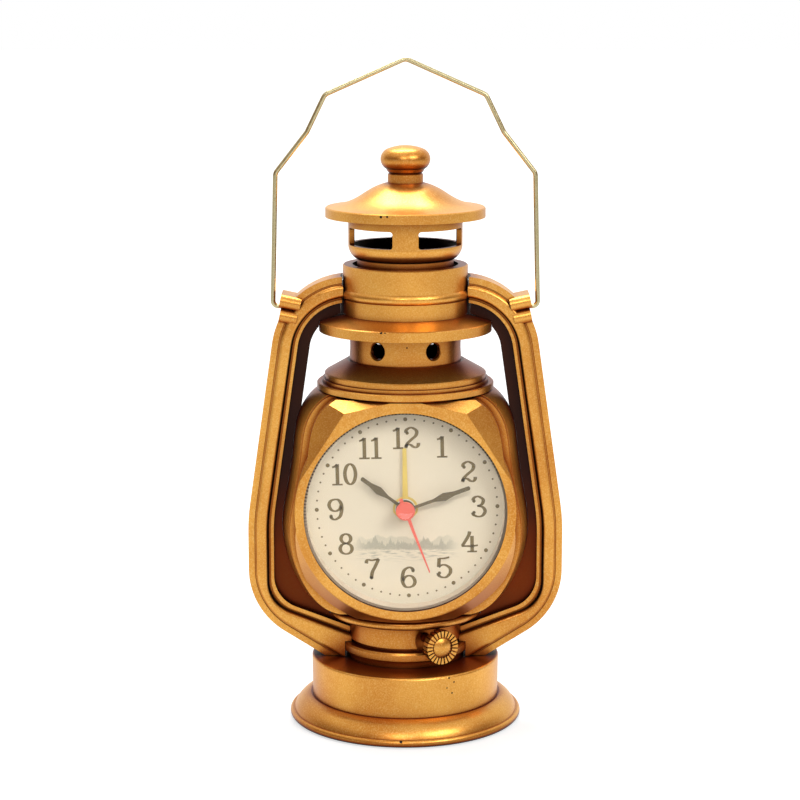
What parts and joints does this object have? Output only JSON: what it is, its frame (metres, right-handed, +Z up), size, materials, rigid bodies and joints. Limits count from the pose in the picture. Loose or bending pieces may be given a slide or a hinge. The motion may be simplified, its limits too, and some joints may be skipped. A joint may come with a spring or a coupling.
{
  "type": "oil lamp alarm clock",
  "caption": "Lantern-shaped alarm clock: round base, globe housing with a round dial and lens, side arms, vented cap and a wire bail that swings.",
  "frame": {"origin": "middle of the round base at the table, on the lantern's upright axis", "axes": "+Z up, the dial faces -Y, +X to the right of someone who reads the dial"},
  "size_m": [0.0976, 0.0726, 0.2061],
  "materials": {
    "bronze_paint": "metallic bronze spray on moulded plastic",
    "black_plastic": "moulded",
    "white_plastic": "moulded",
    "grey_plastic": "moulded",
    "soft_foot": "soft foam",
    "clear_lens": "clear",
    "dial_print": "printed",
    "hand_dark": "painted",
    "hand_yellow": "painted",
    "hand_red": "painted",
    "gear_plastic": "moulded",
    "wire": "brass-washed",
    "steel": "plated",
    "brass": "turned",
    "cell": "wrapped"
  },
  "bodies": {
    "lantern": {"foot_ring": "soft_foot", "base_drum": "bronze_paint", "bottom_plate": "black_plastic", "bottom_screws": "steel", "burner_collar": "bronze_paint", "wick_clip": "steel", "globe_seat": "bronze_paint", "globe_front": "bronze_paint", "globe_rear": "bronze_paint", "front_bezel": "bronze_paint", "lens": "clear_lens", "dial_ring": "white_plastic", "dial": "dial_print", "movement_case": "black_plastic", "middle_plate": "black_plastic", "movement_lid": "black_plastic", "rear_cover": "black_plastic", "rear_screws": "steel", "aa_cell": "cell", "contact_plate": "steel", "contact_spring": "steel", "buzzer": "brass", "cap_ring": "bronze_paint", "neck": "bronze_paint", "hood": "bronze_paint", "chimney": "bronze_paint", "vent_cage": "bronze_paint", "cap": "bronze_paint", "finial": "bronze_paint", "right_arm_front": "bronze_paint", "right_arm_rear": "bronze_paint", "left_arm_front": "bronze_paint", "left_arm_rear": "bronze_paint"},
    "bail": {"bail": "wire"},
    "wick_wheel": {"wick_wheel": "bronze_paint"},
    "second": {"second_hand": "hand_red", "second_arbor": "steel"},
    "minute": {"minute_hand": "hand_dark", "cannon_pinion": "gear_plastic"},
    "hour": {"hour_hand": "hand_dark", "hour_wheel": "gear_plastic"},
    "alarm": {"alarm_hand": "hand_yellow", "alarm_wheel": "gear_plastic"},
    "time_set": {"time_knob": "grey_plastic", "time_arbor": "gear_plastic"},
    "alarm_set": {"alarm_knob": "grey_plastic", "alarm_arbor": "gear_plastic"},
    "alarm_switch": {"alarm_slider": "white_plastic"},
    "battery_door": {"battery_door": "black_plastic"}
  },
  "joints": [
    {"name": "bail_swing", "type": "hinge", "parent": "lantern", "child": "bail", "pos_m": [0, 0, 0.13025], "axis": [1, 0, 0], "range_deg": [-135, 135]},
    {"name": "wick_wheel_turn", "type": "hinge", "parent": "lantern", "child": "wick_wheel", "pos_m": [0, 0, 0.0284], "axis": [0.4226, -0.9063, 0], "continuous": true},
    {"name": "second_hand_turn", "type": "hinge", "parent": "lantern", "child": "second", "pos_m": [0, 0, 0.071], "axis": [0, 1, 0], "continuous": true},
    {"name": "minute_hand_turn", "type": "hinge", "parent": "lantern", "child": "minute", "pos_m": [0, 0, 0.071], "axis": [0, 1, 0], "continuous": true},
    {"name": "hour_hand_turn", "type": "hinge", "parent": "lantern", "child": "hour", "pos_m": [0, 0, 0.071], "axis": [0, 1, 0], "continuous": true},
    {"name": "time_set_turn", "type": "hinge", "parent": "lantern", "child": "time_set", "pos_m": [-0.00624, 0, 0.0746], "axis": [0, 1, 0], "continuous": true},
    {"name": "alarm_hand_turn", "type": "hinge", "parent": "lantern", "child": "alarm", "pos_m": [0, 0, 0.071], "axis": [0, 1, 0], "continuous": true},
    {"name": "alarm_set_turn", "type": "hinge", "parent": "lantern", "child": "alarm_set", "pos_m": [0.00728, 0, 0.0752], "axis": [0, 1, 0], "continuous": true},
    {"name": "alarm_switch_slide", "type": "slide", "parent": "lantern", "child": "alarm_switch", "axis": [1, 0, 0], "range_m": [0, 0.004]},
    {"name": "battery_door_off", "type": "slide", "parent": "lantern", "child": "battery_door", "axis": [0, 1, 0], "range_m": [0, 0.03]}
  ],
  "couplings": [
    {"joint": "hour_hand_turn", "follows": "time_set_turn", "ratio": -0.25},
    {"joint": "minute_hand_turn", "follows": "time_set_turn", "ratio": -3},
    {"joint": "alarm_hand_turn", "follows": "alarm_set_turn", "ratio": -0.33333}
  ]
}
